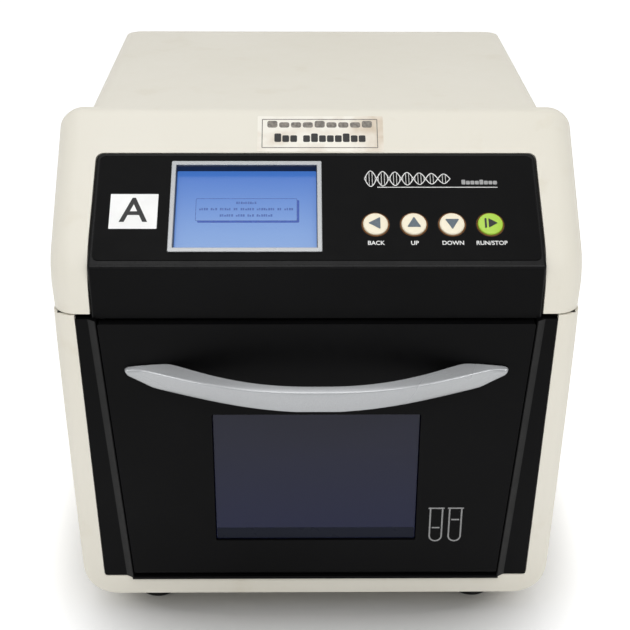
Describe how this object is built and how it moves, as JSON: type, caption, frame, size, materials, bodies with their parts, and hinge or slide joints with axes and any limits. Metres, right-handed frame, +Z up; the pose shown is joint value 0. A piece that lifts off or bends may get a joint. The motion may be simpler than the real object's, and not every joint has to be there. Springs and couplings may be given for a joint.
{
  "type": "automated nucleic acid extraction instrument",
  "caption": "Benchtop bead-based nucleic acid extractor: cream housing, sloping black console with display and keys, drop-down windowed door, silver bow handle.",
  "frame": {"origin": "middle of the bounding box, on the bench under the feet", "axes": "+X to the right seen from the front, front towards -Y, +Z up"},
  "size_m": [0.334, 0.4186, 0.3267],
  "materials": {
    "cream_housing": "fine-textured cream moulding, lightly aged",
    "black_plastic": "satin black moulding",
    "handle_silver": "satin silver",
    "gasket_rubber": "black gasket",
    "foot_rubber": "matte black rubber",
    "window_tint": "dark blue-tinted acrylic",
    "display_glass": "lit blue liquid-crystal display",
    "button_ivory": "ivory key",
    "button_green": "lime green key",
    "sheet_alloy": "satin sheet and machined alloy",
    "steel": "satin steel",
    "circuit_board": "green solder mask",
    "lamp_glass": "clear lamp tube"
  },
  "bodies": {
    "housing": {"lower_housing": "cream_housing", "upper_cover": "cream_housing", "console_panel": "black_plastic", "door_surround": "black_plastic", "door_catch": "black_plastic", "fan_frame": "black_plastic", "power_inlet": "black_plastic", "lcd_bezel": "handle_silver", "lcd_gasket": "gasket_rubber", "foot_front_left": "foot_rubber", "foot_front_right": "foot_rubber", "foot_rear_left": "foot_rubber", "foot_rear_right": "foot_rubber", "lcd_screen": "display_glass", "base_plate": "sheet_alloy", "rear_panel": "sheet_alloy", "side_plate_left": "sheet_alloy", "side_plate_right": "sheet_alloy", "lift_deck": "sheet_alloy", "lower_beam": "sheet_alloy", "chamber_back": "sheet_alloy", "power_supply": "sheet_alloy", "lcd_module": "steel", "hinge_bracket_left": "steel", "hinge_bracket_right": "steel", "guide_rod_left": "steel", "guide_rod_right": "steel", "magnet_motor": "steel", "plunger_motor": "steel", "drive_motor": "steel", "rail_left": "steel", "rail_right": "steel", "fan_guard": "steel", "serial_port": "steel", "scanner_port": "steel", "keypad_board": "circuit_board", "control_board": "circuit_board", "uv_lamp": "lamp_glass"},
    "door": {"door_panel": "black_plastic", "door_liner": "black_plastic", "door_window": "window_tint", "door_handle": "handle_silver", "hinge_pin_left": "steel", "hinge_pin_right": "steel"},
    "button_back": {"button_back": "button_ivory"},
    "button_up": {"button_up": "button_ivory"},
    "button_down": {"button_down": "button_ivory"},
    "button_run_stop": {"button_run_stop": "button_green"},
    "magnet_head": {"magnet_head": "sheet_alloy"},
    "magnet_screw": {"magnet_screw": "steel"},
    "plunger_bar": {"plunger_bar": "black_plastic"},
    "plunger_screw": {"plunger_screw": "steel"},
    "carriage": {"carriage": "sheet_alloy"},
    "drive_screw": {"drive_screw": "steel"},
    "platform": {"platform": "sheet_alloy", "elution_block": "sheet_alloy"},
    "fan": {"fan_rotor": "black_plastic"},
    "power_switch": {"power_switch": "black_plastic"},
    "fuse_drawer": {"fuse_drawer": "black_plastic"}
  },
  "joints": [
    {"name": "door_hinge", "type": "hinge", "parent": "housing", "child": "door", "pos_m": [0, -0.1678, 0.0357], "axis": [1, 0, 0], "range_deg": [0, 84]},
    {"name": "button_back_press", "type": "slide", "parent": "housing", "child": "button_back", "axis": [0, 0.5693, -0.8221], "range_m": [0, 0.0012], "stiffness_N_per_m": 600, "springref_m": -0.0006},
    {"name": "button_up_press", "type": "slide", "parent": "housing", "child": "button_up", "axis": [0, 0.5693, -0.8221], "range_m": [0, 0.0012], "stiffness_N_per_m": 600, "springref_m": -0.0006},
    {"name": "button_down_press", "type": "slide", "parent": "housing", "child": "button_down", "axis": [0, 0.5693, -0.8221], "range_m": [0, 0.0012], "stiffness_N_per_m": 600, "springref_m": -0.0006},
    {"name": "button_run_stop_press", "type": "slide", "parent": "housing", "child": "button_run_stop", "axis": [0, 0.5693, -0.8221], "range_m": [0, 0.0012], "stiffness_N_per_m": 600, "springref_m": -0.0006},
    {"name": "magnet_lift", "type": "slide", "parent": "housing", "child": "magnet_head", "axis": [0, 0, -1], "range_m": [0, 0.05]},
    {"name": "magnet_screw_turn", "type": "hinge", "parent": "housing", "child": "magnet_screw", "pos_m": [-0.026, -0.0108, 0.18], "axis": [0, 0, 1], "range_deg": [0, 2260]},
    {"name": "plunger_lift", "type": "slide", "parent": "housing", "child": "plunger_bar", "axis": [0, 0, -1], "range_m": [0, 0.05]},
    {"name": "plunger_screw_turn", "type": "hinge", "parent": "housing", "child": "plunger_screw", "pos_m": [0.026, -0.0108, 0.18], "axis": [0, 0, 1], "range_deg": [0, 2260]},
    {"name": "carriage_travel", "type": "slide", "parent": "housing", "child": "carriage", "axis": [0, -1, 0], "range_m": [0, 0.06]},
    {"name": "drive_screw_turn", "type": "hinge", "parent": "housing", "child": "drive_screw", "pos_m": [0, -0.0108, 0.0413], "axis": [0, 1, 0], "range_deg": [0, 2170]},
    {"name": "platform_slide", "type": "slide", "parent": "carriage", "child": "platform", "axis": [0, -1, 0], "range_m": [0, 0.096]},
    {"name": "fan_spin", "type": "hinge", "parent": "housing", "child": "fan", "pos_m": [-0.1, 0.1899, 0.17], "axis": [0, 1, 0], "continuous": true},
    {"name": "power_switch_rock", "type": "hinge", "parent": "housing", "child": "power_switch", "pos_m": [0.119, 0.2017, 0.064], "axis": [1, 0, 0], "range_deg": [-16, 0]},
    {"name": "fuse_drawer_slide", "type": "slide", "parent": "housing", "child": "fuse_drawer", "axis": [0, 1, 0], "range_m": [0, 0.022]}
  ],
  "couplings": [
    {"joint": "magnet_screw_turn", "follows": "magnet_lift", "rad_per_m": 785.4},
    {"joint": "plunger_screw_turn", "follows": "plunger_lift", "rad_per_m": 785.4},
    {"joint": "drive_screw_turn", "follows": "carriage_travel", "rad_per_m": 628.32},
    {"joint": "platform_slide", "follows": "door_hinge", "m_per_rad": 0.0648}
  ]
}
